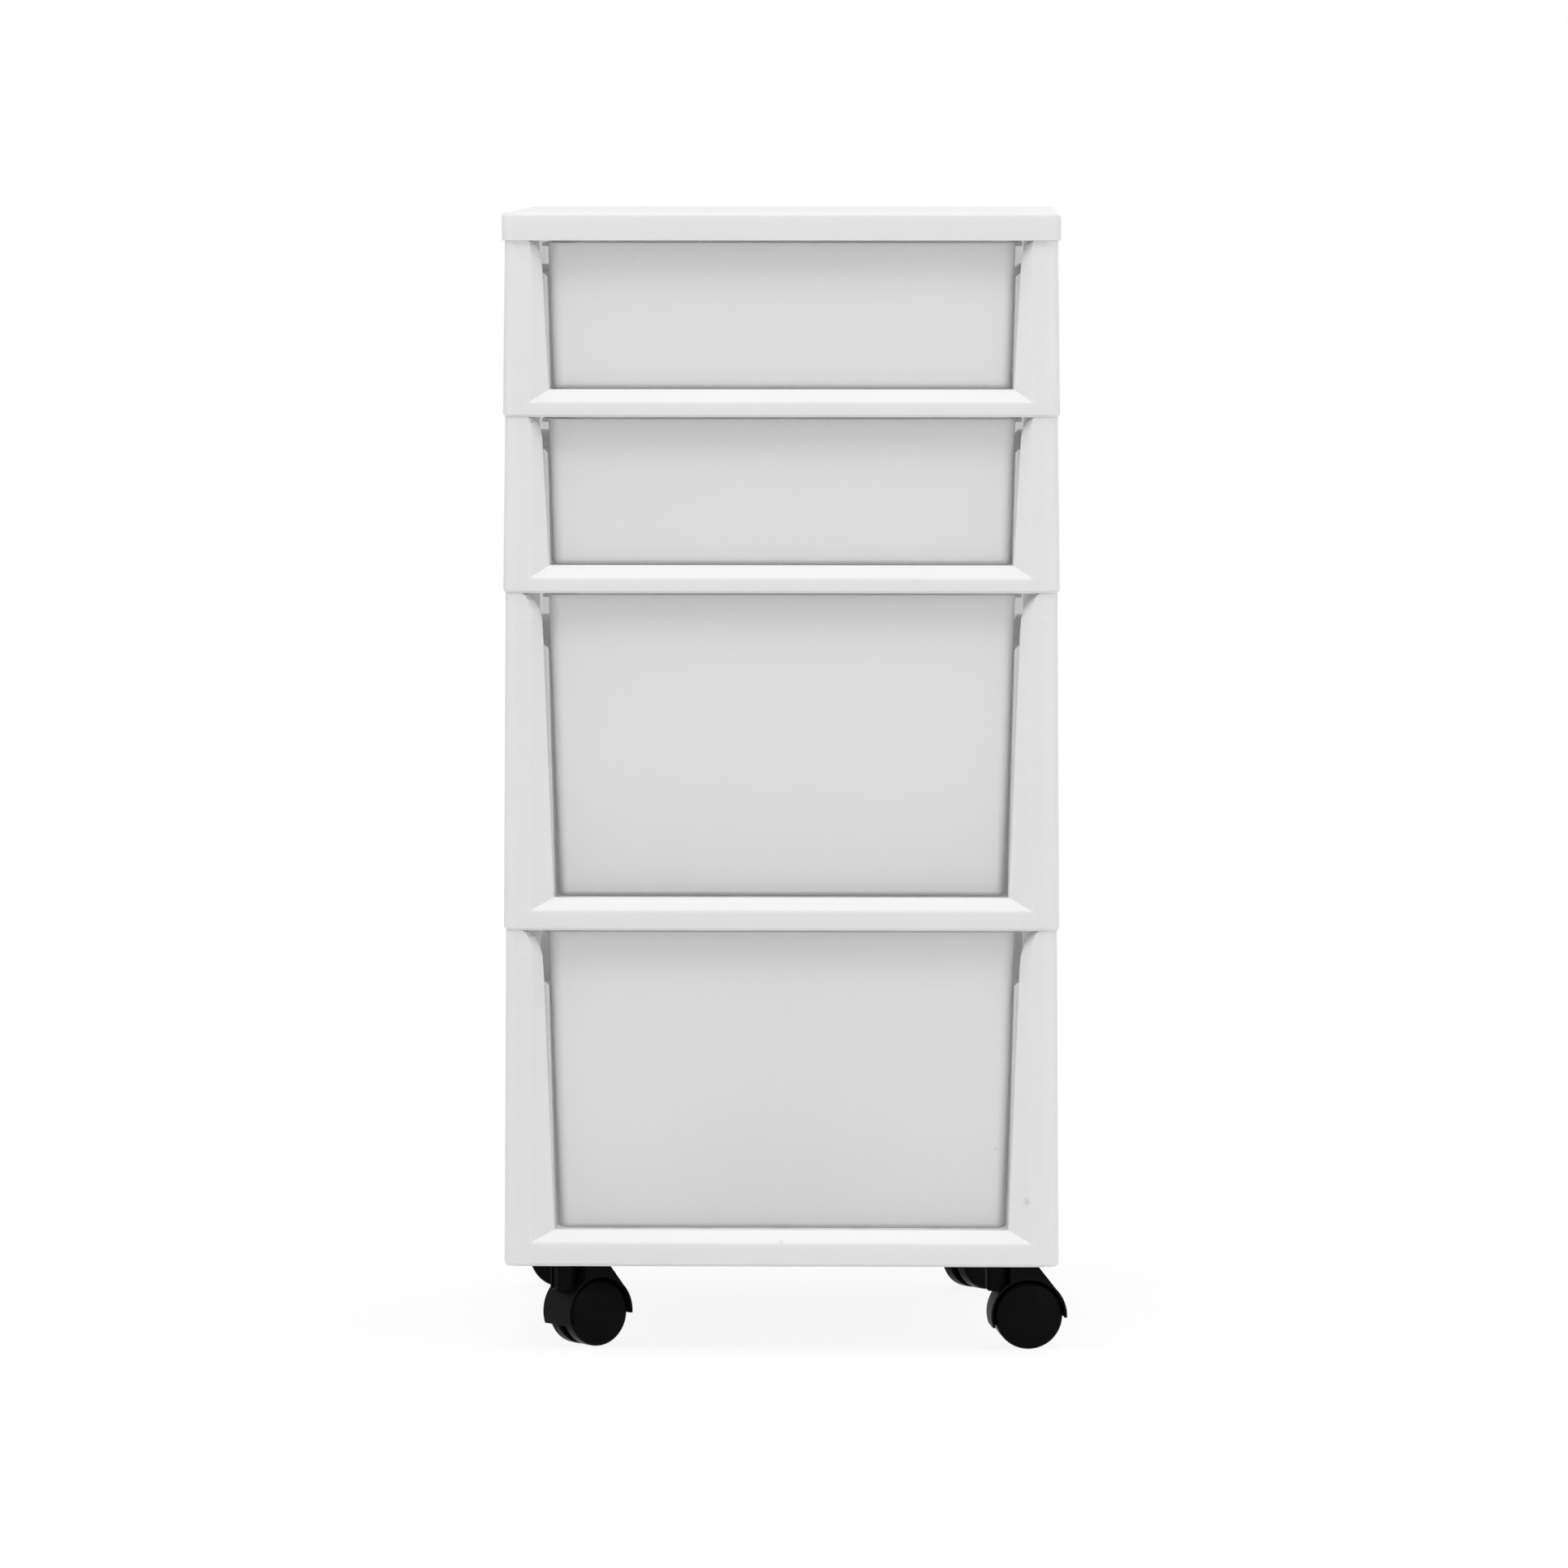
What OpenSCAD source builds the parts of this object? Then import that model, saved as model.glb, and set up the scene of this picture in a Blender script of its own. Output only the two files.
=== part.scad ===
// Drawer tower on twin-wheel casters, millimetres.
// X runs to the right, Y away from the viewer and Z up; the origin is on the floor under the middle.

/* [Overall] */
// Width of a tier at its foot
body_w = 326; // [271:1:392]
// Depth of a tier at its foot
body_d = 390; // [325:1:468]
// Height of a shallow tier
shallow_h = 103; // [85:1:124]
// Height of a deep tier
deep_h = 198; // [165:1:238]
// Height of the lid
lid_h = 16.5; // [14:0.5:20]

/* [Moulding] */
// Wall of the frames and of the lid
wall = 2.2; // [1.8:0.1:2.7]
// How far each face of a tier draws in from foot to top
body_draft = 1.3; // [1:0.1:1.6]
// Corner radius of a frame seen from above
corner_r = 9; // [7:0.5:12]
// Chamfer round the foot of a frame
foot_chamfer = 1.4; // [1:0.1:1.6]
// How far the lid stands out past the frames
lid_overhang = 0.5; // [0.3:0.1:1]
// Radius of the lid's upper edge
lid_edge_r = 2.6; // [2:0.1:4]
// Depth of the recessed field in a side wall
field_depth = 0.8; // [0.4:0.1:1]
// Border left round a recessed field
field_border = 15; // [12:1:20]

/* [Bay mouth] */
// Width of a front post at the head of the mouth, without the bevel round the mouth
post_w = 15.65; // [13:0.25:18]
// Depth of the bevel round the mouth, and its width at the rail and at the head of the mouth
mouth_bevel = 7.6; // [6:0.1:9]
// How far the mouth reaches back to the guide walls
mouth_depth = 10; // [8.5:0.5:12]
// Height of a shallow tier's front rail
shallow_rail_h = 16; // [14:0.5:19]
// Height of the upper deep tier's front rail
deep_rail_h = 19; // [16:0.5:22]
// Height of the base tier's front rail
base_rail_h = 21; // [19:0.5:25]
// Width of the finger scoop in a shallow tier's posts
shallow_scoop_w = 7.8; // [6.5:0.1:9.4]
// Height of the finger scoop in a shallow tier's posts
shallow_scoop_h = 17; // [14:0.5:20]
// Width of the finger scoop in a deep tier's posts
deep_scoop_w = 12; // [10:0.5:14.5]
// Height of the finger scoop in a deep tier's posts
deep_scoop_h = 22; // [18:0.5:26]

/* [Inside a frame] */
// Depth of a shallow tier's side ledge below its top
shallow_ledge_drop = 19; // [16:1:23]
// Depth of a deep tier's side ledge below its top
deep_ledge_drop = 31; // [26:1:37]
// Thickness of the ribs under a shelf
rib_t = 1.6; // [1.3:0.1:2]
// Depth of the ribs under a shelf
rib_h = 5.5; // [4:0.5:6]
// Number of ribs that run from front to back
rib_count = 5; // [3:1:7]
// Length of a locating tab on a side wall
tab_len = 42; // [30:1:55]
// Height of a locating tab above the wall that carries it
tab_h = 5; // [4:0.5:6]

/* [Drawers] */
// Gap between the mouth and a drawer's rim on each side
drawer_inset = 3; // [2.5:0.1:4]
// Slope of a drawer's walls in degrees
drawer_slope = 1.5; // [1.2:0.1:1.8]
// Wall of a drawer
drawer_wall = 1.8; // [1.5:0.1:2.2]
// Gap between a drawer's rim and the tier above
drawer_top_gap = 1.5; // [1.2:0.1:2]
// Gap between a drawer and its guide walls
guide_gap = 0.7; // [0.5:0.1:1]
// How far a drawer's front stands behind the frame's front
drawer_recess = 12; // [11:0.5:14]
// How far a drawer's back stands in front of the frame's back
drawer_back_gap = 17; // [14:0.5:22]
// Corner radius of a drawer seen from above
drawer_corner_r = 7; // [6.5:0.5:9]
// Radius of the edge round a drawer's floor
drawer_foot_r = 3; // [2:0.5:4]
// Width of a drawer's side flange
flange_w = 4; // [3:0.5:4.5]
// Thickness of a drawer's side flange
flange_t = 2; // [1.6:0.1:2.4]
// How far a flange starts behind the drawer's front
flange_start = 14; // [10:1:18]
// Height of the stop tabs above a drawer's rim
stop_tab_h = 5.5; // [4:0.5:6]
// Length of a drawer that stays inside when it is out to its stop
drawer_hold = 81; // [70:1:110]

/* [Casters] */
// Distance of a swivel axis from the side of the tower
caster_side_inset = 34.5; // [30:0.5:40]
// Distance of a swivel axis from the front or the back of the tower
caster_end_inset = 40; // [34:0.5:48]
// Radius of a wheel
wheel_r = 20; // [16.5:0.5:24]
// Width of a wheel
wheel_w = 11.6; // [10:0.1:13]
// How far the wheels trail behind the swivel axis
trail = 16; // [15:0.5:18]
// Radius of the stem
stem_r = 4; // [3.4:0.1:4.8]
// Depth of the stem's bore in the housing
housing_bore_h = 11.5; // [10:0.5:14]
// Radius of the axle
axle_r = 2; // [1.7:0.1:2.3]
// Gap between a turning piece and the shaft in it
running_gap = 0.06; // [0.02:0.01:0.09]
// Turn of the front right and the rear left caster, degrees
straight_turn = 6; // [-90:1:90]
// Turn of the front left and the rear right caster, degrees
slanted_turn = 36; // [-90:1:90]

/* [Hidden] */

// Colours
white_plastic = [0.93, 0.93, 0.92];
frosted_plastic = [0.84, 0.85, 0.85, 0.85];
black_plastic = [0.08, 0.08, 0.09];
steel = [0.7, 0.71, 0.73];

// Resolution of the arcs
corner_steps = 6;
edge_steps = 5;
mouth_steps = 8;
foot_steps = 3;
$fn = 48;

// Overshoot of a cut past the face that it opens
over = 1;

// The casters' height leaves a floor under the stem's bore that clears the wheels
well_gap = 1.2;
well_r = wheel_r + well_gap;
seat_gap = 0.3;
stem_flange_t = 1.2;
bore_floor_t = 1.4;
bore_clear_z = wheel_r + sqrt(pow(well_r, 2) - pow(trail - stem_r - running_gap, 2)) + bore_floor_t;
caster_h = ceil(bore_clear_z + housing_bore_h + seat_gap + stem_flange_t);

// A tier is [foot height, height, rail height, ledge drop, scoop width and height]
base_z = caster_h;
upper_deep_z = base_z + deep_h;
lower_shallow_z = upper_deep_z + deep_h;
upper_shallow_z = lower_shallow_z + shallow_h;
lid_z = upper_shallow_z + shallow_h;
shallow_scoop = [shallow_scoop_w, shallow_scoop_h];
deep_scoop = [deep_scoop_w, deep_scoop_h];
base_tier = [base_z, deep_h, base_rail_h, deep_ledge_drop, deep_scoop];
upper_deep_tier = [upper_deep_z, deep_h, deep_rail_h, deep_ledge_drop, deep_scoop];
lower_shallow_tier = [lower_shallow_z, shallow_h, shallow_rail_h, shallow_ledge_drop, shallow_scoop];
upper_shallow_tier = [upper_shallow_z, shallow_h, shallow_rail_h, shallow_ledge_drop, shallow_scoop];

// Mouth and drawer places, in a tier's own heights above its foot
front_y = -body_d / 2;
back_y = body_d / 2;
bevel_half = body_w / 2 - post_w;
mouth_half = bevel_half - mouth_bevel;
mouth_foot_gap = 2 * guide_gap;
guide_y = front_y + mouth_depth;
rim_half = mouth_half - drawer_inset;
drawer_front_y = front_y + drawer_recess;
drawer_back_y = back_y - drawer_back_gap;
stop_tab_t = 2.4;
stop_tab_w = 30;
stop_tab_x = rim_half * 2 / 3;
stop_clearance = 0.5;
drawer_travel = drawer_back_y - drawer_front_y - drawer_hold;
stop_rib_y = drawer_back_y - stop_tab_t - drawer_travel - stop_clearance;
cross_rib_count = 2;

// Locating tabs
tab_t = 1.9;
tab_gap = 0.35;
tab_root = 6;
tab_end = body_d / 3;

// Stem bosses, stems and grip rings
ring_t = 2;
ring_lift = 6;
ring_len = 7;
ring_slot = 1.2;
ring_fit = 0.05;
groove_depth = 0.6;
groove_r = stem_r - groove_depth;
ring_r = groove_r + running_gap + ring_t;
boss_bore_r = ring_r + ring_fit;
boss_roof_t = 4;
boss_bore_h = base_rail_h - boss_roof_t;
boss_wall = 2.5;
stem_top_gap = 1;
stem_flange_r = stem_r + 3;

// Caster housings, heights from the floor except in outlines drawn about the axle
caster_x = body_w / 2 - caster_side_inset;
caster_y = body_d / 2 - caster_end_inset;
front_left = [-1, -1, slanted_turn];
front_right = [1, -1, straight_turn];
rear_left = [-1, 1, 180 + straight_turn];
rear_right = [1, 1, 180 + slanted_turn];
press_gap = 0.02;
web_half = 2.5;
wheel_gap = 0.5;
hood_t = 1.3;
hood_r = well_r + hood_t;
wheel_proud = 0.6;
hood_half = web_half + wheel_gap + wheel_w - wheel_proud;
hood_tip_lead = -7.3;
hood_tip_trail = -1.2;
block_x = stem_r + 1 - trail;
block_top_x = 4.5;
block_angle = 32;
housing_top = caster_h - stem_flange_t - seat_gap;
block_top = housing_top - wheel_r;
block_foot = block_top / 3;
housing_bore_z = housing_top - housing_bore_h;
tower_r = stem_r + 3.4;
tower_rib_t = 1.3;
tower_rib_y = 3;
tower_rib_proud = 0.8;

// Wheels
wheel_dome = 1.6;
wheel_edge_r = 2.8;
wheel_face_t = 1.8;
wheel_rim_t = 2.4;
wheel_back_edge = 1;
hub_r = axle_r + 2.6;
spoke_count = 6;
spoke_t = 1.2;
spoke_root = 1;

// ---------- general shapes ----------

// Points of a rounded rectangle about the origin at height z, anticlockwise from above
function rounded_ring(w, d, r, z) = [
    for (corner = [0 : 3])
        let (sx = (corner == 0 || corner == 3) ? 1 : -1, sy = corner < 2 ? 1 : -1)
            for (step = [0 : corner_steps])
                let (a = 90 * (corner + step / corner_steps))
                    [sx * (w / 2 - r) + r * cos(a), sy * (d / 2 - r) + r * sin(a), z]
];

// Solid through a stack of rings with the same even number of points each
module loft(rings) {
    n = len(rings[0]);
    last = len(rings) - 1;
    points = [for (ring = rings, point = ring) point];
    sides = [
        for (level = [0 : last - 1], i = [0 : n - 1])
            let (j = (i + 1) % n, low = level * n, high = low + n)
                each [[low + i, high + i, high + j], [low + i, high + j, low + j]]
    ];
    steps = [0 : n / 2 - 2];
    bottom = [for (i = steps) [i, i + 1, n - 2 - i, n - 1 - i]];
    top = [for (i = steps) [last * n + n - 1 - i, last * n + n - 2 - i, last * n + i + 1, last * n + i]];
    polyhedron(points = points, faces = concat(sides, bottom, top), convexity = 8);
}

// Block centred on X that spans y0 to y1 and z0 to z1
module slab(w, y0, y1, z0, z1) {
    translate([-w / 2, y0, z0])
        cube([w, y1 - y0, z1 - z0]);
}

// Outline in X and Z drawn out along Y from y0 to y1
module along_y(y0, y1) {
    translate([0, y1, 0])
        rotate([90, 0, 0])
            linear_extrude(y1 - y0)
                children();
}

module on_both_sides() {
    children();
    mirror([1, 0, 0])
        children();
}

// ---------- frames ----------

// Outer form of a tier, drawn in by inset, with a chamfer round its foot
module tier_body(h, inset, chamfer) {
    foot = chamfer > 0 ? [[0, chamfer], [chamfer, 0]] : [[0, 0]];
    loft([
        for (level = concat(foot, [[h, body_draft]]))
            let (cut = inset + level[1])
                rounded_ring(body_w - 2 * cut, body_d - 2 * cut, corner_r - cut, level[0])
    ]);
}

// Space inside the outer walls, open at the foot and at the top
module tier_cavity(h) {
    loft([
        for (z = [-over, h + over])
            let (cut = wall + body_draft * z / h)
                rounded_ring(body_w - 2 * cut, body_d - 2 * cut, corner_r - cut, z)
    ]);
}

function between(start, end, share) = start * (1 - share) + end * share;

// Outline of the mouth at depth y, with skin round it: open is 1 at the bevel's outer edge, 0 at its inner one
function mouth_ring(h, rail, scoop, y, open, skin) =
    let (
        inner_foot = [drawer_half(h, rail, 0) + mouth_foot_gap + skin, rail - skin],
        foot = between(inner_foot, [bevel_half, rail - mouth_bevel], open),
        side_x = between(mouth_half + skin, bevel_half, open),
        head_x = mouth_half + skin + scoop[0],
        side = [
            for (step = [0 : mouth_steps - 1])
                between(foot, [side_x, h - scoop[1]], step / mouth_steps)
        ],
        arc = [
            for (step = [0 : edge_steps])
                let (a = 90 * step / edge_steps)
                    [head_x - (head_x - side_x) * cos(a), h - scoop[1] + (scoop[1] - skin) * sin(a)]
        ],
        edge = concat(side, arc, [[head_x, h + over]])
    )
    concat(
        [for (p = edge) [-p[0], y, p[1]]],
        [for (i = [len(edge) - 1 : -1 : 0]) [edge[i][0], y, edge[i][1]]]
    );

// The mouth of a bay, with its bevel and finger scoops, back to y_end
module mouth(h, rail, scoop, skin, y_end) {
    start = skin > 0 ? front_y + skin / 2 : front_y - over;
    loft([
        mouth_ring(h, rail, scoop, start, 1, skin),
        mouth_ring(h, rail, scoop, front_y + skin, 1, skin),
        mouth_ring(h, rail, scoop, front_y + mouth_bevel, 0, skin),
        mouth_ring(h, rail, scoop, y_end, 0, skin)
    ]);
}

// Half-width of a drawer at height z above its floor
function drawer_half(h, rail, z) = rim_half - (drawer_height(h, rail) - z) * tan(drawer_slope);

function drawer_height(h, rail) = h - rail - drawer_top_gap;

// Guide wall, the ledge that joins it to the side wall, and the strip that closes its front
module guide_channel(h, rail, ledge_drop, scoop) {
    ledge_z = h - ledge_drop;
    foot_x = drawer_half(h, rail, 0) + guide_gap;
    head_x = drawer_half(h, rail, ledge_z - rail) + guide_gap;
    strip_x = mouth_half + scoop[0] + 2 * wall;
    flange_x = rim_half + flange_w + guide_gap;
    along_y(guide_y, back_y - wall / 2)
        polygon([
            [foot_x, rail - wall], [foot_x + wall, rail - wall], [head_x + wall, ledge_z - wall],
            [body_w / 2, ledge_z - wall], [body_w / 2, ledge_z],
            [head_x + wall, ledge_z], [head_x, ledge_z - wall]
        ]);
    along_y(guide_y, guide_y + wall)
        polygon([
            [foot_x, rail - wall], [strip_x, rail - wall], [strip_x, h + over],
            [flange_x, h + over], [flange_x, ledge_z], [head_x + wall, ledge_z], [head_x, ledge_z - wall]
        ]);
}

// Ribs under a plate, with the one that stops the drawer below
module plate_ribs(half, plate_z) {
    y0 = front_y + mouth_depth;
    y1 = back_y - wall / 2;
    rib_z = plate_z - rib_h;
    pitch = 2 * half / (rib_count + 1);
    cross_pitch = (y1 - stop_rib_y) / (cross_rib_count + 1);
    for (i = [1 : rib_count])
        translate([i * pitch - half, 0, 0])
            slab(rib_t, y0, y1, rib_z, plate_z);
    for (i = [1 : cross_rib_count])
        translate([0, stop_rib_y + i * cross_pitch, 0])
            slab(2 * half, 0, rib_t, rib_z, plate_z);
    slab(2 * half, stop_rib_y - rib_t, stop_rib_y, 0, plate_z);
}

// Tabs inside the side walls that plug into the tier above
module locating_tabs(h) {
    on_both_sides()
        for (y = [-tab_end, tab_end - tab_len])
            translate([body_w / 2 - wall - tab_gap - tab_t, y, h - tab_root])
                cube([tab_t, tab_len, tab_root + tab_h]);
}

// Shallow fields sunk in the two side walls and the back wall
module wall_fields(h) {
    z0 = field_border + foot_chamfer;
    z1 = h - field_border;
    edge = field_border + corner_r;
    difference() {
        union() {
            slab(body_w + 2 * over, front_y + field_border + edge, back_y - edge, z0, z1);
            slab(body_w - 2 * edge, 0, back_y + over, z0, z1);
        }
        tier_body(h, field_depth, 0);
    }
}

// A frame in its own heights, before it is lifted to its place
module frame_moulding(tier) {
    h = tier[1];
    rail = tier[2];
    scoop = tier[4];
    shelf_half = drawer_half(h, rail, 0) + guide_gap + wall;
    difference() {
        tier_body(h, 0, foot_chamfer);
        tier_cavity(h);
        wall_fields(h);
        mouth(h, rail, scoop, 0, guide_y);
    }
    intersection() {
        tier_body(h, wall / 2, 0);
        union() {
            difference() {
                mouth(h, rail, scoop, wall, guide_y + wall / 2);
                mouth(h, rail, scoop, 0, guide_y + wall);
            }
            on_both_sides()
                guide_channel(h, rail, tier[3], scoop);
            slab(2 * shelf_half, guide_y, back_y, rail - wall, rail);
            plate_ribs(shelf_half, rail - wall);
        }
    }
    locating_tabs(h);
}

module tier_frame(tier) {
    color(white_plastic)
        translate([0, 0, tier[0]])
            frame_moulding(tier);
}

// Bosses under the base shelf that hold the caster stems
module stem_bosses(grow, z0, h) {
    for (x = [-caster_x, caster_x], y = [-caster_y, caster_y])
        translate([x, y, z0])
            cylinder(r = boss_bore_r + grow, h = h);
}

module base_frame() {
    color(white_plastic)
        translate([0, 0, base_z])
            difference() {
                union() {
                    frame_moulding(base_tier);
                    stem_bosses(boss_wall, 0, base_rail_h - wall / 2);
                }
                stem_bosses(0, -over, boss_bore_h + over);
            }
}

module lid() {
    w = body_w + 2 * lid_overhang;
    d = body_d + 2 * lid_overhang;
    r = corner_r + lid_overhang;
    edge = [
        for (step = [0 : edge_steps])
            let (a = 90 * step / edge_steps)
                [lid_h - lid_edge_r * (1 - sin(a)), lid_edge_r * (1 - cos(a))]
    ];
    color(white_plastic)
        translate([0, 0, lid_z]) {
            difference() {
                loft([
                    for (level = concat([[0, 0]], edge))
                        rounded_ring(w - 2 * level[1], d - 2 * level[1], r - level[1], level[0])
                ]);
                loft([
                    for (z = [-over, lid_h - wall])
                        rounded_ring(w - 2 * wall, d - 2 * wall, r - wall, z)
                ]);
            }
            plate_ribs(rim_half, lid_h - wall / 2);
        }
}

// ---------- drawers ----------

// Outline of a drawer at height z above its floor, drawn in by inset
function drawer_ring(hd, z, inset) =
    let (
        cut = inset + (hd - z) * tan(drawer_slope),
        mid_y = (drawer_front_y + drawer_back_y) / 2,
        ring = rounded_ring(
            2 * (rim_half - cut), drawer_back_y - drawer_front_y - 2 * cut, drawer_corner_r - inset, z
        )
    )
    [for (p = ring) p + [0, mid_y, 0]];

module drawer(tier) {
    hd = drawer_height(tier[1], tier[2]);
    foot = [
        for (step = [0 : foot_steps])
            let (a = 90 * step / foot_steps)
                [drawer_foot_r * (1 - cos(a)), drawer_foot_r * (1 - sin(a))]
    ];
    color(frosted_plastic)
        translate([0, 0, tier[0] + tier[2]]) {
            difference() {
                union() {
                    loft([
                        for (level = concat(foot, [[hd, 0]]))
                            drawer_ring(hd, level[0], level[1])
                    ]);
                    intersection() {
                        loft([
                            drawer_ring(hd, hd - flange_t, -flange_w),
                            drawer_ring(hd, hd, -flange_w)
                        ]);
                        slab(body_w, drawer_front_y + flange_start, back_y, 0, hd + over);
                    }
                }
                loft([
                    for (level = concat(foot, [[hd, 0]]))
                        drawer_ring(hd, drawer_wall + level[0], drawer_wall + level[1])
                ]);
            }
            stop_tabs(hd);
        }
}

// Tabs on a drawer's back wall that meet the rib above at the end of its travel
module stop_tabs(hd) {
    on_both_sides()
        translate([stop_tab_x, 0, 0])
            slab(stop_tab_w, drawer_back_y - stop_tab_t, drawer_back_y, hd - flange_t, hd + stop_tab_h);
}

// ---------- casters, drawn about the swivel axis with the wheels trailing along X ----------

module stem() {
    top = caster_h + boss_bore_h - stem_top_gap;
    groove_z = caster_h + ring_lift;
    color(steel)
        difference() {
            union() {
                translate([0, 0, housing_bore_z + seat_gap])
                    cylinder(r = stem_r, h = top - housing_bore_z - seat_gap);
                translate([0, 0, caster_h - stem_flange_t])
                    cylinder(r = stem_flange_r, h = stem_flange_t);
            }
            translate([0, 0, groove_z - seat_gap])
                difference() {
                    cylinder(r = stem_r + over, h = ring_len + 2 * seat_gap);
                    translate([0, 0, -over])
                        cylinder(r = groove_r, h = ring_len + 2 * seat_gap + 2 * over);
                }
        }
}

// Split ring that grips the boss
module grip_ring() {
    color(steel)
        translate([0, 0, caster_h + ring_lift])
            difference() {
                cylinder(r = ring_r, h = ring_len);
                translate([0, 0, -over])
                    cylinder(r = groove_r + running_gap, h = ring_len + 2 * over);
                translate([0, -ring_slot / 2, -over])
                    cube([ring_r + over, ring_slot, ring_len + 2 * over]);
            }
}

// Side outline of the hood and the block over it, about the axle
module hood_outline() {
    difference() {
        union() {
            circle(r = hood_r);
            polygon([
                [block_x, block_foot], [block_x, block_top], [block_top_x, block_top],
                [hood_r * cos(block_angle), hood_r * sin(block_angle)], [0, block_foot]
            ]);
        }
        below_hood();
    }
}

// Everything below the line between the two tips of the hood
module below_hood() {
    far = 2 * hood_r;
    polygon([
        [-far, hood_tip_lead], [-hood_r, hood_tip_lead], [hood_r, hood_tip_trail],
        [far, hood_tip_trail], [far, -far], [-far, -far]
    ]);
}

module housing() {
    tower_z = wheel_r + sqrt(pow(well_r, 2) - pow(trail, 2));
    color(black_plastic)
        difference() {
            union() {
                translate([trail, 0, wheel_r])
                    along_y(-hood_half, hood_half)
                        hood_outline();
                translate([0, 0, tower_z])
                    cylinder(r = tower_r, h = housing_top - tower_z);
                for (y = [-tower_rib_y, tower_rib_y])
                    translate([-tower_r - tower_rib_proud, y - tower_rib_t / 2, tower_z + over])
                        cube([tower_r / 2, tower_rib_t, housing_top - tower_z - over]);
            }
            for (side = [-1, 1])
                translate([trail, side * (web_half + hood_half), wheel_r])
                    rotate([90, 0, 0])
                        cylinder(r = well_r, h = 2 * hood_half, center = true);
            translate([trail, 0, wheel_r])
                rotate([90, 0, 0])
                    cylinder(r = axle_r + press_gap, h = 4 * web_half, center = true);
            translate([0, 0, housing_bore_z])
                cylinder(r = stem_r + running_gap, h = housing_top);
        }
}

module axle() {
    half = web_half + wheel_gap + wheel_w - wheel_face_t - seat_gap;
    color(steel)
        translate([trail, 0, wheel_r])
            rotate([90, 0, 0])
                cylinder(r = axle_r, h = 2 * half, center = true);
}

// Wheel with a domed face, a hollow ribbed back and a blind bore
module wheel(side) {
    bore = axle_r + running_gap;
    rim_z = wheel_w - wheel_dome;
    dome_r = wheel_r - wheel_edge_r;
    rim_in = wheel_r - wheel_rim_t;
    floor_z = rim_z - wheel_face_t;
    dome = [
        for (step = [0 : edge_steps])
            let (r = dome_r * (1 - step / edge_steps))
                [r, rim_z + wheel_dome * (1 - pow(r / dome_r, 2))]
    ];
    shoulder = [
        for (step = [0 : edge_steps - 1])
            let (a = 90 * step / edge_steps)
                [dome_r + wheel_edge_r * cos(a), rim_z - wheel_edge_r * (1 - sin(a))]
    ];
    color(black_plastic)
        translate([trail, side * (web_half + wheel_gap), wheel_r])
            rotate([-90 * side, 0, 0]) {
                rotate_extrude()
                    polygon(concat(
                        [
                            [0, wheel_w - wheel_face_t], [bore, wheel_w - wheel_face_t], [bore, 0],
                            [hub_r, 0], [hub_r, floor_z], [rim_in, floor_z], [rim_in, 0],
                            [wheel_r - wheel_back_edge, 0], [wheel_r, wheel_back_edge]
                        ],
                        shoulder, dome
                    ));
                for (spoke = [0 : spoke_count - 1])
                    rotate([0, 0, 360 * spoke / spoke_count])
                        translate([hub_r - spoke_root, -spoke_t / 2, wheel_back_edge])
                            cube([rim_in - hub_r + 2 * spoke_root, spoke_t, floor_z]);
            }
}

// Puts a caster's piece at its corner, given as [side of X, side of Y, turn]
module at_corner(corner) {
    translate([corner[0] * caster_x, corner[1] * caster_y, 0])
        rotate([0, 0, corner[2]])
            children();
}

// ---------- the pieces ----------

lid();
tier_frame(upper_shallow_tier);  // upper_shallow_frame
tier_frame(lower_shallow_tier);  // lower_shallow_frame
tier_frame(upper_deep_tier);  // upper_deep_frame
base_frame();
drawer(upper_shallow_tier);  // upper_shallow_drawer
drawer(lower_shallow_tier);  // lower_shallow_drawer
drawer(upper_deep_tier);  // upper_deep_drawer
drawer(base_tier);  // lower_deep_drawer
at_corner(front_left) stem();  // front_left_stem
at_corner(front_left) grip_ring();  // front_left_grip_ring
at_corner(front_left) housing();  // front_left_housing
at_corner(front_left) axle();  // front_left_axle
at_corner(front_left) wheel(-1);  // front_left_wheel_1
at_corner(front_left) wheel(1);  // front_left_wheel_2
at_corner(front_right) stem();  // front_right_stem
at_corner(front_right) grip_ring();  // front_right_grip_ring
at_corner(front_right) housing();  // front_right_housing
at_corner(front_right) axle();  // front_right_axle
at_corner(front_right) wheel(-1);  // front_right_wheel_1
at_corner(front_right) wheel(1);  // front_right_wheel_2
at_corner(rear_left) stem();  // rear_left_stem
at_corner(rear_left) grip_ring();  // rear_left_grip_ring
at_corner(rear_left) housing();  // rear_left_housing
at_corner(rear_left) axle();  // rear_left_axle
at_corner(rear_left) wheel(-1);  // rear_left_wheel_1
at_corner(rear_left) wheel(1);  // rear_left_wheel_2
at_corner(rear_right) stem();  // rear_right_stem
at_corner(rear_right) grip_ring();  // rear_right_grip_ring
at_corner(rear_right) housing();  // rear_right_housing
at_corner(rear_right) axle();  // rear_right_axle
at_corner(rear_right) wheel(-1);  // rear_right_wheel_1
at_corner(rear_right) wheel(1);  // rear_right_wheel_2
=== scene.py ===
"""Drawer tower: white moulded frames and lid, frosted drawers, black twin-wheel casters.

The lid, the frames and the drawers are copies of their CAD nodes with rounded edges. The casters
are the CAD nodes themselves, with finishes. Lengths are in metres.
"""

import math

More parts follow.
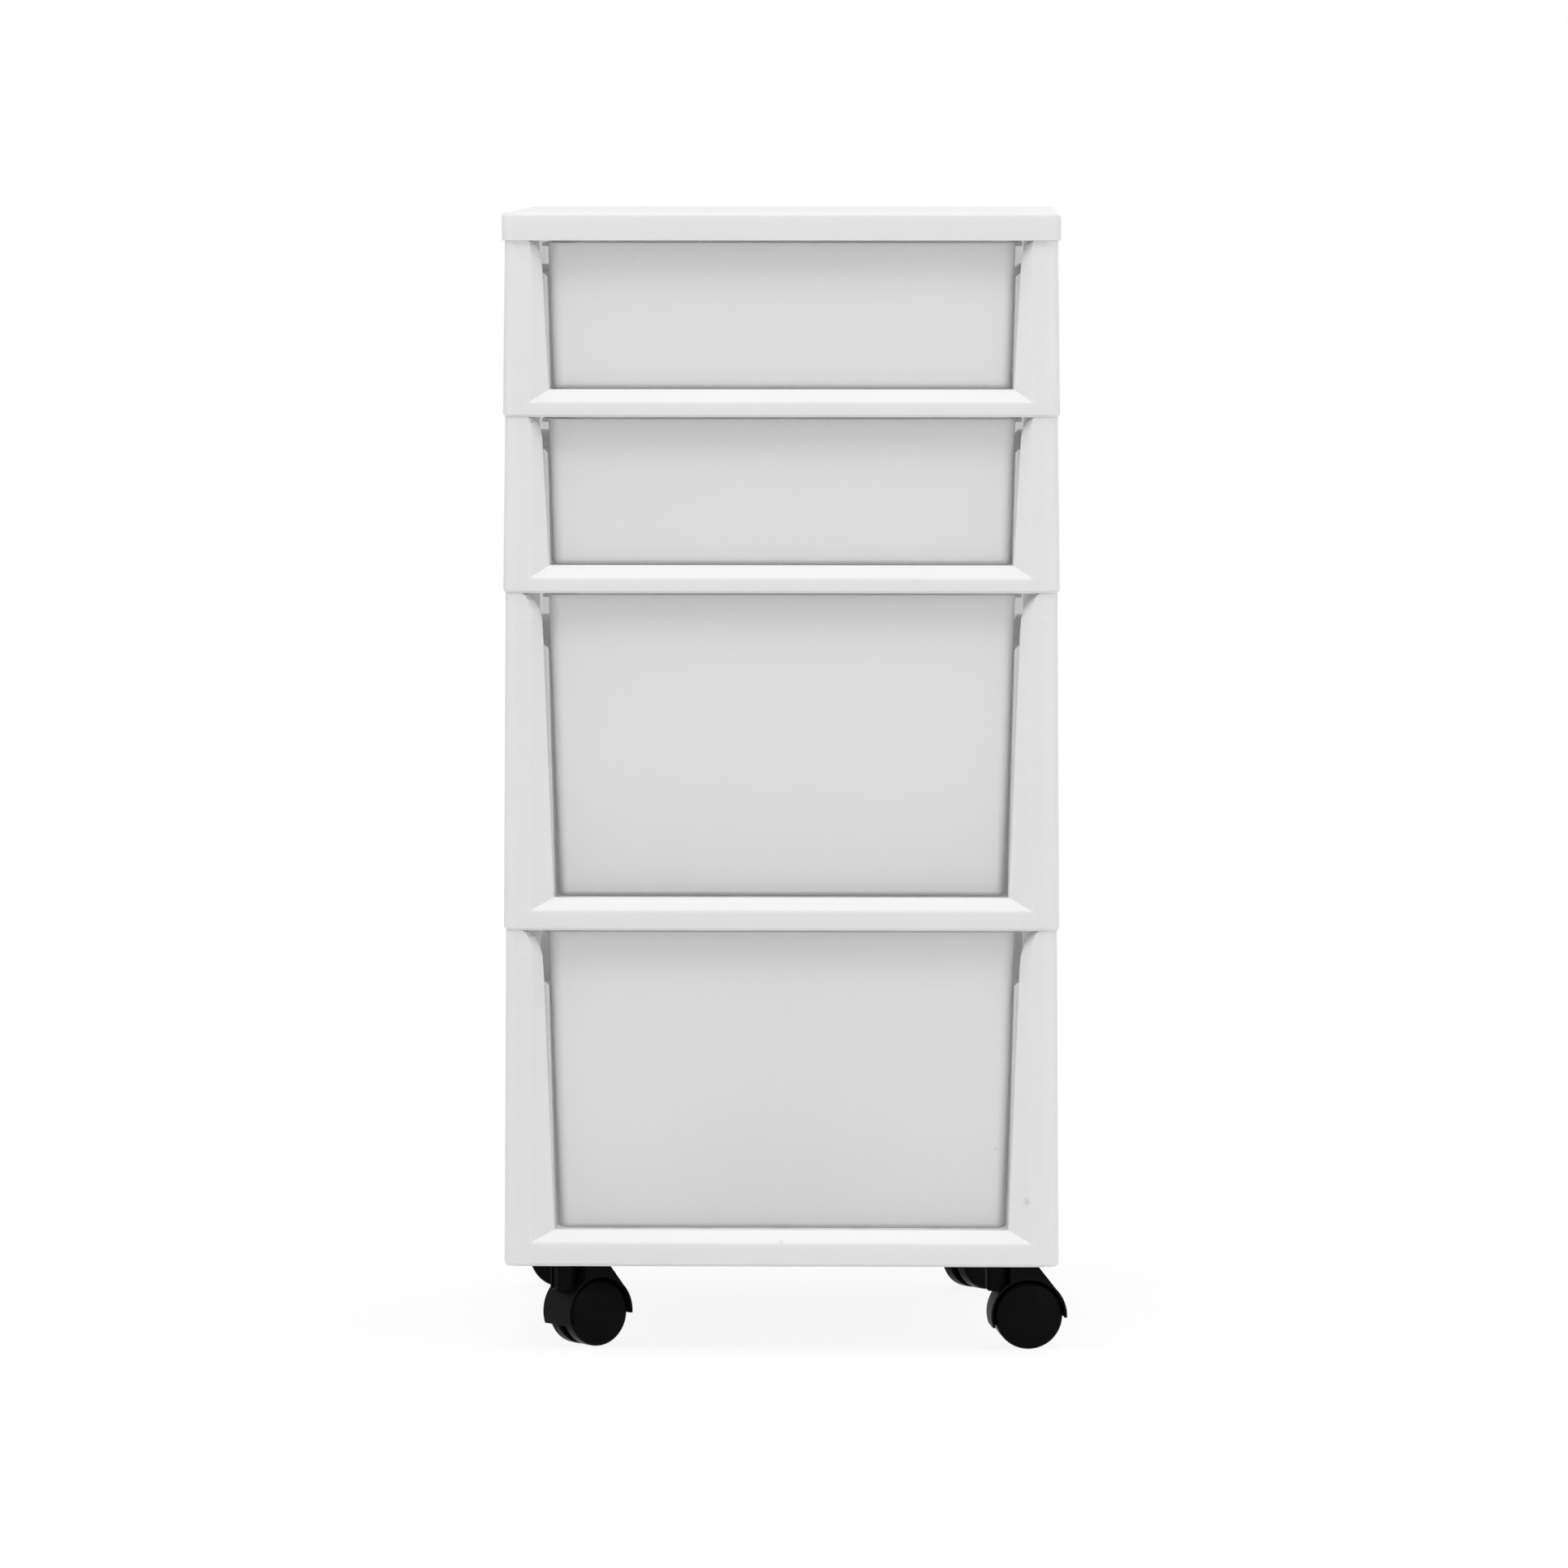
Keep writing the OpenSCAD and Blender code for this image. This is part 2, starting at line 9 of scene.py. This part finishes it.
import bmesh
import bpy
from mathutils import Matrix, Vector


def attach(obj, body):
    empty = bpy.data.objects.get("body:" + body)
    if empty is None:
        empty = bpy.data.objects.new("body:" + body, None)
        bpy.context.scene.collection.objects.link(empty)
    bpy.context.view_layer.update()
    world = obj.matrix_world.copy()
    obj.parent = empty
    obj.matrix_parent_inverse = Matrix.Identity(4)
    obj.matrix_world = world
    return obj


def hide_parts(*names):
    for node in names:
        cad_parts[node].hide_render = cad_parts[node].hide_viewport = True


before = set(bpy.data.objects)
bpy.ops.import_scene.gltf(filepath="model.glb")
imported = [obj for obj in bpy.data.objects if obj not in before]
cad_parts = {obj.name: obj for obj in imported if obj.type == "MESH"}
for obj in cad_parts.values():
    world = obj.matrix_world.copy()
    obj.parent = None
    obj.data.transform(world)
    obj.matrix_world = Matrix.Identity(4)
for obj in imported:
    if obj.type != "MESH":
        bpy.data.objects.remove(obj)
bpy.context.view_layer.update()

MM = 0.001
TIERS = ("upper_shallow", "lower_shallow", "upper_deep", "base")
DRAWERS = ("upper_shallow", "lower_shallow", "upper_deep", "lower_deep")
CORNERS = ("front_left", "front_right", "rear_left", "rear_right")

# Where the mouldings change, each as the start and the end of the change
FRAME_FRONT_ENDS = (-0.188, -0.183)
DRAWER_FRONT_ENDS = (-0.179, -0.176)
SIDE_SKIN_STARTS = (0.1585, 0.1595)
BACK_SKIN_STARTS = (0.190, 0.191)
LID_STARTS = (0.653, 0.655)

# Marks of moulding and of use that the photograph shows
POST_MIDDLE = 0.149
POST_HALF_WIDTH = 0.010
# Heights of raised witness lines on the posts, made lighter with a painted highlight
WITNESS_HEIGHTS = (0.434, 0.2365)
WITNESS_REACH = 0.0006
# A gate dimple, darkened with painted shade in it
GATE_MARK = (0, -0.1939, 0.0665)
# A raised speck on a post, darkened round it with painted shadow
POST_SPECK = (0.1436, -0.194, 0.0905)
# Centre of painted shade: a darker, warmer patch low in the middle of the bottom drawer's front
DRAWER_PAINTED_SHADE = (0.01, -0.18, 0.135)
DRAWER_SPECKS = ((-0.0863, -0.182, 0.644), (0.1259, -0.180, 0.1204))

# Share of the light on a face that passes through it. A wall is two faces, so light meets two shares
FRAME_FRONT_SHARE = 0.25
INNER_WALL_SHARE = 0.85
OUTER_SKIN_SHARE = 0.60
DRAWER_FRONT_SHARE = 0.32
DRAWER_WALL_SHARE = 0.80

PLASTIC_IOR = 1.49


# ---------- shader maths ----------


class Signal:
    """A number on a shader socket: each operator on it adds the Math node that works it out."""

    def __init__(self, finish, socket):
        self.finish = finish
        self.socket = socket

    def maths(self, operation, *values):
        return self.finish.add("ShaderNodeMath", {"operation": operation}, values)

    def __add__(self, other):
        return self.maths("ADD", self, other)

    __radd__ = __add__

    def __sub__(self, other):
        return self.maths("SUBTRACT", self, other)

    def __rsub__(self, other):
        return self.maths("SUBTRACT", other, self)

    def __mul__(self, other):
        return self.maths("MULTIPLY", self, other)

    __rmul__ = __mul__

    def over(self, low, high):
        """0 below low, 1 above high and smooth between them."""
        settings = {"interpolation_type": "SMOOTHSTEP"}
        values = {"Value": self, "From Min": low, "From Max": high}
        return self.finish.add("ShaderNodeMapRange", settings, values)

    def under(self, low, high):
        """1 below low, 0 above high and smooth between them."""
        return 1 - self.over(low, high)

    def size(self):
        """The number without its sign."""
        return self.maths("ABSOLUTE", self)

    def near(self, level, reach):
        """1 close to level, 0 further than reach from it."""
        flat_part = 0.4
        return (self - level).size().under(reach * flat_part, reach)

    def either(self, other):
        """The larger of two."""
        return self.maths("MAXIMUM", self, other)


class Finish:
    """The nodes of a material or of the world, and the one way to add to them."""

    def __init__(self, owner, output):
        self.owner = owner
        self.output = output
        owner.use_nodes = True
        self.tree = owner.node_tree
        self.tree.nodes.clear()

    def add(self, kind, settings=None, values=(), output=0):
        """A node with its settings first, then values or links for its sockets, by name or in order."""
        node = self.tree.nodes.new(kind)
        for key, value in (settings or {}).items():
            setattr(node, key, value)
        pairs = values.items() if isinstance(values, dict) else enumerate(values)
        for key, value in pairs:
            socket = node.inputs[key]
            if isinstance(value, Signal):
                self.tree.links.new(value.socket, socket)
            else:
                socket.default_value = value
        return Signal(self, node.outputs[output]) if node.outputs else None

    def places(self):
        """Where a point is on the piece, in the object's own axes."""
        return self.add("ShaderNodeTexCoord", output="Object")

    def axes(self, places):
        """The three coordinates of a point."""
        split = self.add("ShaderNodeSeparateXYZ", {}, [places])
        return [Signal(self, socket) for socket in split.socket.node.outputs]

    def spot(self, places, centre, inner, outer):
        """1 within inner of a point, 0 beyond outer."""
        settings = {"operation": "DISTANCE"}
        distance = self.add("ShaderNodeVectorMath", settings, [places, centre], output="Value")
        return distance.under(inner, outer)

    def noise(self, places, size, detail, roughness=0.5):
        """Noise from 0 to 1 with features of about size."""
        values = {"Vector": places, "Scale": 1 / size, "Detail": detail, "Roughness": roughness}
        return self.add("ShaderNodeTexNoise", {}, values, output="Fac")

    def mixed(self, share, first, second):
        """A colour share of the way from first to second."""
        factor, colour_a, colour_b, colour_result = 0, 6, 7, 2
        values = {factor: share, colour_a: first, colour_b: second}
        return self.add("ShaderNodeMix", {"data_type": "RGBA"}, values, output=colour_result)

    def bump(self, strength, distance, height):
        """A normal with the relief of height on it."""
        values = {"Strength": strength, "Distance": distance, "Height": height}
        return self.add("ShaderNodeBump", {}, values)

    def see_through(self, share, face, colour, normal):
        """A face that passes a share of the light on, tinted and scattered."""
        through = self.add("ShaderNodeBsdfTranslucent", {}, {"Color": colour, "Normal": normal})
        return self.add("ShaderNodeMixShader", {}, [share, face, through])

    def seen_rays(self):
        """1 to rays from the camera, off a mirror or through glass, 0 to the rest."""
        path = self.add("ShaderNodeLightPath").socket.node.outputs
        camera_ray, mirror_ray, glass_ray = (
            Signal(self, path[name])
            for name in ("Is Camera Ray", "Is Glossy Ray", "Is Transmission Ray")
        )
        return camera_ray.either(mirror_ray).either(glass_ray)

    def ended(self, shader):
        """Puts a shader on the output and gives back the material or the world."""
        self.add(self.output, {}, [shader])
        return self.owner


def material_finish(name):
    return Finish(bpy.data.materials.new(name), "ShaderNodeOutputMaterial")


def grey(level, warmth=0.0):
    """A near-neutral colour: level is linear, warmth lifts red over blue."""
    return (level * (1 + warmth), level, level * (1 - warmth), 1)


WHITE = grey(1)


# ---------- finishes ----------


def frame_share(across, depth, height, behind_front):
    """Share of light that a white face passes: least on fronts and the lid, most on inner walls."""
    outer_skin = across.size().over(*SIDE_SKIN_STARTS).either(depth.over(*BACK_SKIN_STARTS))
    wall_share = INNER_WALL_SHARE - (INNER_WALL_SHARE - OUTER_SKIN_SHARE) * outer_skin
    frame_wall = behind_front * height.under(*LID_STARTS)
    return FRAME_FRONT_SHARE + frame_wall * (wall_share - FRAME_FRONT_SHARE)


def white_polypropylene():
    """White moulded plastic: a satin skin with a fine grain, and inner walls that glow through."""
    skin = material_finish("white_polypropylene")
    places = skin.places()
    across, depth, height = skin.axes(places)
    behind_front = depth.over(*FRAME_FRONT_ENDS)
    clouds = skin.noise(places, size=0.09, detail=2)
    flow = skin.noise(places, size=0.02, detail=4)
    grain = skin.noise(places, size=0.0006, detail=2)
    rub = skin.noise(places, size=0.006, detail=5, roughness=0.7).over(0.62, 0.78)
    posts = across.size().near(POST_MIDDLE, POST_HALF_WIDTH) * (1 - behind_front)
    upper_line, lower_line = (height.near(level, WITNESS_REACH) for level in WITNESS_HEIGHTS)
    witness_ridge_and_highlight = (upper_line + lower_line) * posts
    gate_dimple_and_shade = skin.spot(places, GATE_MARK, inner=0.0008, outer=0.0018)
    speck_and_shadow = skin.spot(places, POST_SPECK, inner=0.0004, outer=0.0034)

    colour = skin.mixed(clouds, grey(0.85, -0.003), grey(0.89, 0.004))
    colour = skin.mixed(rub * 0.35, colour, grey(0.8, 0.006))
    # Painted highlight along the raised witness lines on the posts
    colour = skin.mixed(witness_ridge_and_highlight * 0.5, colour, grey(0.95))
    # Painted shadow round the raised post speck, and painted shade in the gate dimple
    colour = skin.mixed(speck_and_shadow * 0.9 + gate_dimple_and_shade * 0.5, colour, grey(0.62, 0.01))
    relief = grain * 0.6 + flow * 0.4 + witness_ridge_and_highlight * 2 - gate_dimple_and_shade * 2 + speck_and_shadow
    normal = skin.bump(strength=0.12, distance=0.0004, height=relief)
    face = skin.add("ShaderNodeBsdfPrincipled", {}, {
        "Base Color": colour,
        "Roughness": 0.36 + flow * 0.12 + rub * 0.1,
        "IOR": PLASTIC_IOR,
        "Specular IOR Level": 0.42,
        "Normal": normal,
    })
    share = frame_share(across, depth, height, behind_front)
    return skin.ended(skin.see_through(share, face, grey(0.87), normal))


def frosted_polypropylene():
    """Natural polypropylene with a matt face: milky, so light comes through it but no shapes do."""
    skin = material_finish("frosted_polypropylene")
    places = skin.places()
    depth = skin.axes(places)[1]
    clouds = skin.noise(places, size=0.12, detail=2)
    milk = skin.noise(places, size=0.03, detail=4)
    grain = skin.noise(places, size=0.0008, detail=2)
    painted_shade = skin.spot(places, DRAWER_PAINTED_SHADE, inner=0.0, outer=0.14) * (0.6 + milk * 0.8)
    upper_speck, lower_speck = (
        skin.spot(places, centre, inner=0.0004, outer=0.0013) for centre in DRAWER_SPECKS
    )

    colour = skin.mixed(clouds, grey(0.9, -0.004), grey(0.93, 0.002))
    # Painted shade: darker and warmer low in the middle of the bottom drawer's front
    colour = skin.mixed(painted_shade * 0.5, colour, grey(0.84, 0.008))
    colour = skin.mixed((upper_speck + lower_speck) * 0.6, colour, grey(0.6, 0.02))
    normal = skin.bump(strength=0.15, distance=0.0004, height=grain * 0.5 + milk * 0.5)
    face = skin.add("ShaderNodeBsdfPrincipled", {}, {
        "Base Color": colour,
        "Roughness": 0.5 + milk * 0.12,
        "IOR": PLASTIC_IOR,
        "Specular IOR Level": 0.4,
        "Normal": normal,
    })
    behind_front = depth.over(*DRAWER_FRONT_ENDS)
    share = DRAWER_FRONT_SHARE + (DRAWER_WALL_SHARE - DRAWER_FRONT_SHARE) * behind_front
    return skin.ended(skin.see_through(share, face, grey(0.91), normal))


def black_nylon(name, level, roughness, grain_size):
    """Black moulded nylon with a fine grain and dust caught on it."""
    skin = material_finish(name)
    places = skin.places()
    patches = skin.noise(places, size=0.012, detail=3)
    grain = skin.noise(places, size=grain_size, detail=2)
    dust = skin.noise(places, size=0.0015, detail=6, roughness=0.75).over(0.66, 0.8)

    colour = skin.mixed(patches, grey(level * 0.8), grey(level * 1.2, 0.02))
    colour = skin.mixed(dust * 0.15, colour, grey(0.05, 0.03))
    return skin.ended(skin.add("ShaderNodeBsdfPrincipled", {}, {
        "Base Color": colour,
        "Roughness": roughness + patches * 0.1 + dust * 0.15,
        "Specular IOR Level": 0.035,
        "Normal": skin.bump(strength=0.2, distance=0.0002, height=grain),
    }))


def zinc_plate():
    """Zinc-plated steel with turning marks and a little tarnish."""
    plate = material_finish("zinc_plate")
    places = plate.places()
    height = plate.axes(places)[2]
    tarnish = plate.noise(places, size=0.004, detail=4, roughness=0.6)
    rings = plate.add(
        "ShaderNodeTexNoise", {"noise_dimensions": "1D"}, {"W": height, "Scale": 6000}
    )

    return plate.ended(plate.add("ShaderNodeBsdfPrincipled", {}, {
        "Base Color": plate.mixed(tarnish, grey(0.56, 0.01), grey(0.7, -0.01)),
        "Metallic": 1,
        "Roughness": 0.28 + tarnish * 0.2,
        "Normal": plate.bump(strength=0.15, distance=0.0001, height=rings),
    }))


# ---------- pieces ----------

# A CAD edge that turns further than this gets a radius
ROUNDED_TURN = math.radians(30)
# An edge of the finished mesh that turns further than this is shaded sharp
SHARP_TURN = math.radians(35)
# An edge or a face smaller than this is no more than a CAD rounding error
NO_LENGTH = 0.01 * MM


def merged_copy(node, least_edge, least_turn):
    """A bmesh of a CAD node, cleared of edges under least_edge long or least_turn degrees sharp."""
    bm = bmesh.new()
    bm.from_mesh(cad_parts[node].data)
    bmesh.ops.remove_doubles(bm, verts=bm.verts, dist=least_edge)
    bmesh.ops.dissolve_degenerate(bm, edges=bm.edges, dist=NO_LENGTH)
    bmesh.ops.dissolve_limit(
        bm, angle_limit=math.radians(least_turn), verts=bm.verts, edges=bm.edges, delimit={"NORMAL"}
    )
    return bm


def round_edges(bm, edges, radius, segments=2):
    bmesh.ops.bevel(
        bm, geom=edges, offset=radius, offset_type="OFFSET", affect="EDGES", segments=segments,
        profile=0.5, material=-1, clamp_overlap=False,
    )


def sharp_edges(bm):
    return [
        edge for edge in bm.edges
        if len(edge.link_faces) == 2 and edge.calc_face_angle(0) > ROUNDED_TURN
    ]


def mouth_edges(bm):
    """Edges between a frame's flat front and the bevel round its mouth, up to near its top."""
    front = min(vert.co.y for vert in bm.verts) + 2 * MM
    head = max(vert.co.z for vert in bm.verts) - 17 * MM
    # Limits for the normals beside such an edge: Y for the front and the bevel, Z for both
    flat_front, leans_forward, faces_down = -0.95, -0.3, -0.1

    def on_mouth(edge):
        normals = [face.normal for face in edge.link_faces]
        return (
            all(vert.co.y < front and vert.co.z < head for vert in edge.verts)
            and min(normal.y for normal in normals) < flat_front
            and max(normal.y for normal in normals) < leans_forward
            and all(normal.z > faces_down for normal in normals)
        )

    return [edge for edge in sharp_edges(bm) if on_mouth(edge)]


def moulding(bm, node, material, body):
    """Makes the bmesh of a CAD node its piece, on its body and in its place."""
    for face in bm.faces:
        face.smooth = True
    for edge in bm.edges:
        edge.smooth = edge.calc_face_angle(0) < SHARP_TURN
    mesh = bpy.data.meshes.new(f"{node}_moulding")
    bm.to_mesh(mesh)
    bm.free()
    # The normals that came with the CAD mesh don't fit the rounded one
    mesh.attributes.remove(mesh.attributes["custom_normal"])
    mesh.materials.append(material)
    piece = bpy.data.objects.new(f"{node}_moulding", mesh)
    bpy.context.scene.collection.objects.link(piece)
    normals = piece.modifiers.new("even_normals", "WEIGHTED_NORMAL")
    normals.keep_sharp = True
    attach(piece, body)
    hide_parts(node)


def lid_moulding():
    bm = merged_copy("lid", least_edge=0.03 * MM, least_turn=0.3)
    round_edges(bm, sharp_edges(bm), 0.4 * MM)
    moulding(bm, "lid", white, "tower")


def frame_moulding(tier):
    """A frame: its lofted mouth has slivers, which are merged before its edges are rounded."""
    bm = merged_copy(f"{tier}_frame", least_edge=0.25 * MM, least_turn=3)
    round_edges(bm, mouth_edges(bm), 1.1 * MM, segments=3)
    round_edges(bm, sharp_edges(bm), 0.3 * MM)
    moulding(bm, f"{tier}_frame", white, "tower")


def drawer_moulding(tier):
    bm = merged_copy(f"{tier}_drawer", least_edge=0.03 * MM, least_turn=0.3)
    round_edges(bm, sharp_edges(bm), 0.35 * MM)
    moulding(bm, f"{tier}_drawer", frosted, f"{tier}_drawer")


def dress(node, material):
    """Gives a CAD node that stays its finish."""
    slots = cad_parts[node].data.materials
    slots.clear()
    slots.append(material)


white = white_polypropylene()
frosted = frosted_polypropylene()
nylon = black_nylon("black_nylon", level=0.0045, roughness=0.42, grain_size=0.0005)
tread = black_nylon("black_tread", level=0.0035, roughness=0.24, grain_size=0.0004)
zinc = zinc_plate()

lid_moulding()
for tier in TIERS:
    frame_moulding(tier)
for tier in DRAWERS:
    drawer_moulding(tier)
for corner in CORNERS:
    dress(f"{corner}_housing", nylon)
    for part in ("wheel_1", "wheel_2"):
        dress(f"{corner}_{part}", tread)
    for part in ("stem", "grip_ring", "axle"):
        dress(f"{corner}_{part}", zinc)


# ---------- floor, light and camera ----------

FLOOR_HALF = 9
FLOOR_SQUARES = 8
# Share of the floor's shading that shows near the tower, and the distances it fades out between
SHADOW_SHARE = 0.12
SHADOW_FADES = (0.25, 0.7)
FLOOR_WHITE = 1.02
# Light of the world on the object, against the white that the camera sees
AMBIENT = 0.45

MIDDLE = (0, 0, 0.34)
# Softboxes round the tower: place, width, height and watts
SOFTBOXES = {
    "key_light": ((-1.3, -2.5, 4.4), 2.6, 1.6, 54),
    "fill_light": ((2.2, -3.2, 1.3), 1.8, 1.8, 16),
    "top_light": ((0.1, -1.3, 4.1), 2.6, 1.6, 56),
    "left_light": ((-3.0, -0.9, 1.3), 1.6, 1.6, 18),
    "right_light": ((3.0, -0.7, 1.3), 1.6, 1.6, 16),
    "back_light": ((1.6, 2.7, 1.8), 1.8, 1.8, 45),
}

CAMERA_PLACE = (0.1245, -6.0, 0.7252)
CAMERA_AIM = (0.0017, -0.195, 0.3363)
SENSOR_MM = 36
LENS_MM = 228.2
SEEN_AS_FAR_AS = 100


def floor_paper():
    """Pale paper that the camera sees as white, with a soft shadow close to the tower."""
    paper = material_finish("floor_paper")
    settings = {"operation": "LENGTH"}
    reach = paper.add("ShaderNodeVectorMath", settings, [paper.places()], output="Value")
    white_share = (1 - SHADOW_SHARE) + SHADOW_SHARE * reach.over(*SHADOW_FADES)
    lit = paper.add("ShaderNodeBsdfDiffuse", {}, {"Color": grey(0.8)})
    glow = paper.add("ShaderNodeEmission", {}, {"Color": WHITE, "Strength": FLOOR_WHITE})
    mix = [paper.seen_rays() * white_share, lit, glow]
    return paper.ended(paper.add("ShaderNodeMixShader", {}, mix))


def lay_floor():
    bm = bmesh.new()
    bmesh.ops.create_grid(
        bm, x_segments=FLOOR_SQUARES, y_segments=FLOOR_SQUARES, size=FLOOR_HALF
    )
    mesh = bpy.data.meshes.new("floor")
    bm.to_mesh(mesh)
    bm.free()
    mesh.materials.append(floor_paper())
    floor = bpy.data.objects.new("floor", mesh)
    bpy.context.scene.collection.objects.link(floor)


def studio_world():
    """White behind the object, and a weaker even light on it."""
    studio = Finish(bpy.data.worlds.new("studio"), "ShaderNodeOutputWorld")
    strength = AMBIENT + studio.seen_rays() * (1 - AMBIENT)
    values = {"Color": WHITE, "Strength": strength}
    return studio.ended(studio.add("ShaderNodeBackground", {}, values))


def placed(name, data, place, target):
    """An object for a lamp or the camera, turned towards target."""
    thing = bpy.data.objects.new(name, data)
    thing.location = place
    thing.rotation_euler = (Vector(target) - Vector(place)).to_track_quat("-Z", "Y").to_euler()
    bpy.context.scene.collection.objects.link(thing)
    return thing


def softbox(name, place, width, height, watts):
    lamp = bpy.data.lights.new(name, "AREA")
    lamp.shape = "RECTANGLE"
    lamp.size = width
    lamp.size_y = height
    lamp.energy = watts
    placed(name, lamp, place, MIDDLE)


lay_floor()
bpy.context.scene.world = studio_world()
for name, setup in SOFTBOXES.items():
    softbox(name, *setup)

camera = bpy.data.cameras.new("camera")
camera.sensor_width = SENSOR_MM
camera.lens = LENS_MM
camera.clip_end = SEEN_AS_FAR_AS
bpy.context.scene.camera = placed("camera", camera, CAMERA_PLACE, CAMERA_AIM)
bpy.context.scene.view_settings.view_transform = "Standard"
